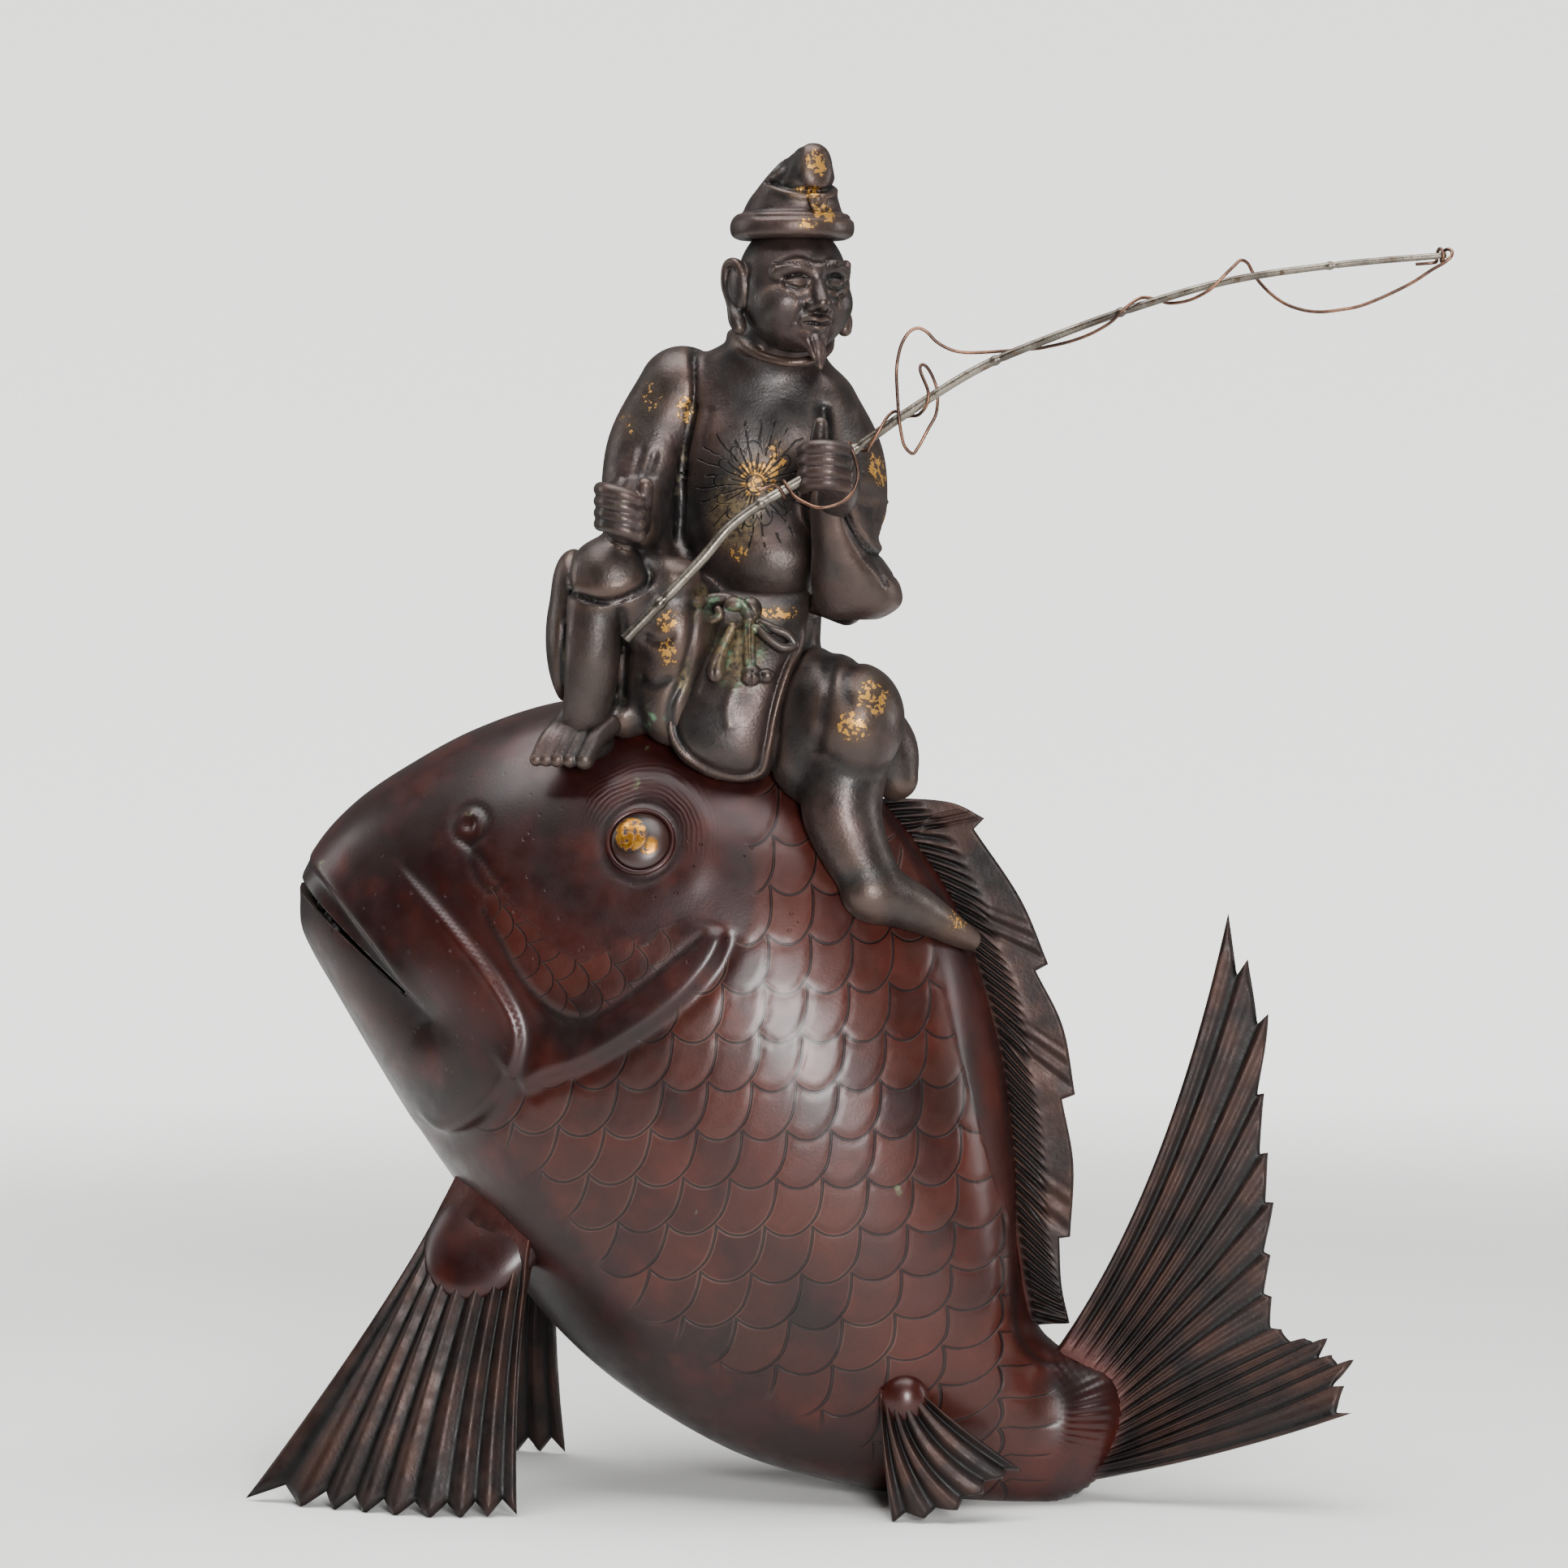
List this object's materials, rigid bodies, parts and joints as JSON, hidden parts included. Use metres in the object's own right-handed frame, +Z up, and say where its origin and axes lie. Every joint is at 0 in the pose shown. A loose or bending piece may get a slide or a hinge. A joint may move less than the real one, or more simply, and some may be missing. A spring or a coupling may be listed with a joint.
{
  "type": "fisherman incense burner",
  "caption": "Bronze incense burner: a hollow sea bream standing on its fins, with a seated fisherman holding a rod as its lift-off lid.",
  "frame": {"origin": "on the surface that the work stands on, under the middle of its bounding box", "axes": "+Z up; the fish looks along -X; the fisherman faces -Y, towards the viewer"},
  "size_m": [0.3682, 0.1399, 0.411],
  "materials": {
    "red_brown_bronze": "cast bronze with a glossy red-brown patina, dark in the grooves",
    "black_brown_bronze": "cast bronze with a black-brown patina and worn traces of gilding",
    "silvered_bronze": "worn silver-grey metal with brown patches",
    "copper_wire": "drawn copper wire, tarnished brown"
  },
  "bodies": {
    "root": {"fish_vessel": "red_brown_bronze", "fisherman_lid": "black_brown_bronze", "fishing_rod": "silvered_bronze", "fishing_line": "copper_wire"}
  },
  "joints": []
}
